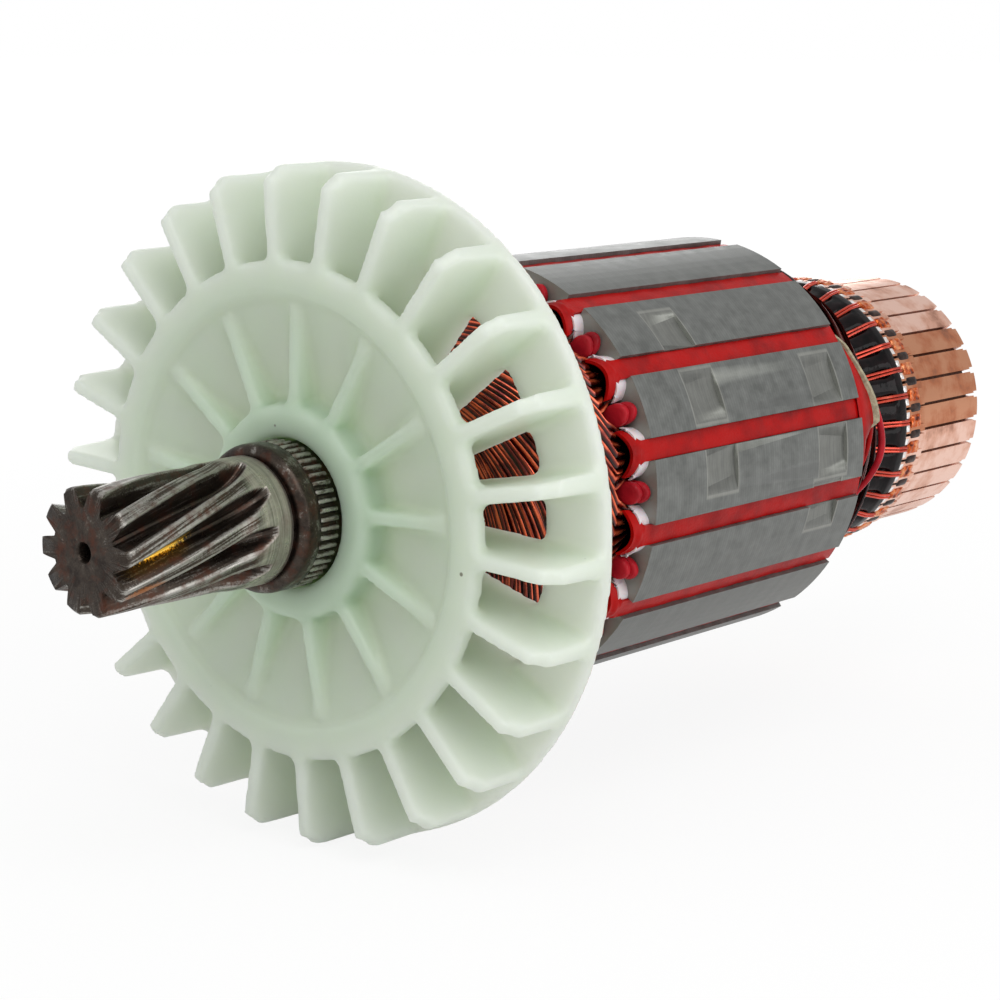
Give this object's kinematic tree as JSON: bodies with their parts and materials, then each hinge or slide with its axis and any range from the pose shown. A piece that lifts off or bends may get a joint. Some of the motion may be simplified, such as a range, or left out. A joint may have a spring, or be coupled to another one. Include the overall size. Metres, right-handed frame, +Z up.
{
  "type": "motor armature",
  "caption": "Wound armature for a universal motor: shaft with helical pinion, radial fan, slotted steel stack with red wedges, copper winding and segmented commutator.",
  "frame": {"origin": "middle of the plain band of the front journal, on the shaft axis", "axes": "X along the shaft axis from the pinion towards the commutator, Z up, Y completes a right-handed frame"},
  "size_m": [0.1722, 0.0804, 0.0804],
  "materials": {
    "shaft_steel": "oiled and slightly rusty, ground bright on the journal",
    "fan_nylon": "translucent natural nylon",
    "core_steel": "ground lamination edges",
    "sleeve_plastic": "smooth",
    "insulator_red": "glossy varnished",
    "fibre_board": "varnished fibre",
    "liner_paper": "varnished paper",
    "wedge_red": "glossy varnished",
    "magnet_wire": "enamelled copper wire, varnished",
    "lead_wire": "enamelled copper wire",
    "black_resin": "glossy",
    "phenolic": "moulded",
    "bush_steel": "turned",
    "commutator_copper": "turned copper, lightly tarnished"
  },
  "bodies": {
    "root": {"coil_leads": "lead_wire", "commutator_bar_01": "commutator_copper", "commutator_bar_02": "commutator_copper", "commutator_bar_03": "commutator_copper", "commutator_bar_04": "commutator_copper", "commutator_bar_05": "commutator_copper", "commutator_bar_06": "commutator_copper", "commutator_bar_07": "commutator_copper", "commutator_bar_08": "commutator_copper", "commutator_bar_09": "commutator_copper", "commutator_bar_10": "commutator_copper", "commutator_bar_11": "commutator_copper", "commutator_bar_12": "commutator_copper", "commutator_bar_13": "commutator_copper", "commutator_bar_14": "commutator_copper", "commutator_bar_15": "commutator_copper", "commutator_bar_16": "commutator_copper", "commutator_bar_17": "commutator_copper", "commutator_bar_18": "commutator_copper", "commutator_bar_19": "commutator_copper", "commutator_bar_20": "commutator_copper", "commutator_bar_21": "commutator_copper", "commutator_bar_22": "commutator_copper", "commutator_bar_23": "commutator_copper", "commutator_bar_24": "commutator_copper", "commutator_bar_25": "commutator_copper", "commutator_bar_26": "commutator_copper", "commutator_bar_27": "commutator_copper", "commutator_bar_28": "commutator_copper", "commutator_bar_29": "commutator_copper", "commutator_bar_30": "commutator_copper", "commutator_bar_31": "commutator_copper", "commutator_bar_32": "commutator_copper", "commutator_bush": "bush_steel", "commutator_moulding": "phenolic", "fan": "fan_nylon", "front_end_insulator": "insulator_red", "lamination_stack": "core_steel", "rear_end_insulator": "fibre_board", "resin_band": "black_resin", "shaft": "shaft_steel", "shaft_sleeve": "sleeve_plastic", "slot_liners": "liner_paper", "slot_wedge_01": "wedge_red", "slot_wedge_02": "wedge_red", "slot_wedge_03": "wedge_red", "slot_wedge_04": "wedge_red", "slot_wedge_05": "wedge_red", "slot_wedge_06": "wedge_red", "slot_wedge_07": "wedge_red", "slot_wedge_08": "wedge_red", "slot_wedge_09": "wedge_red", "slot_wedge_10": "wedge_red", "slot_wedge_11": "wedge_red", "slot_wedge_12": "wedge_red", "slot_wedge_13": "wedge_red", "slot_wedge_14": "wedge_red", "slot_wedge_15": "wedge_red", "slot_wedge_16": "wedge_red", "winding": "magnet_wire"}
  },
  "joints": []
}
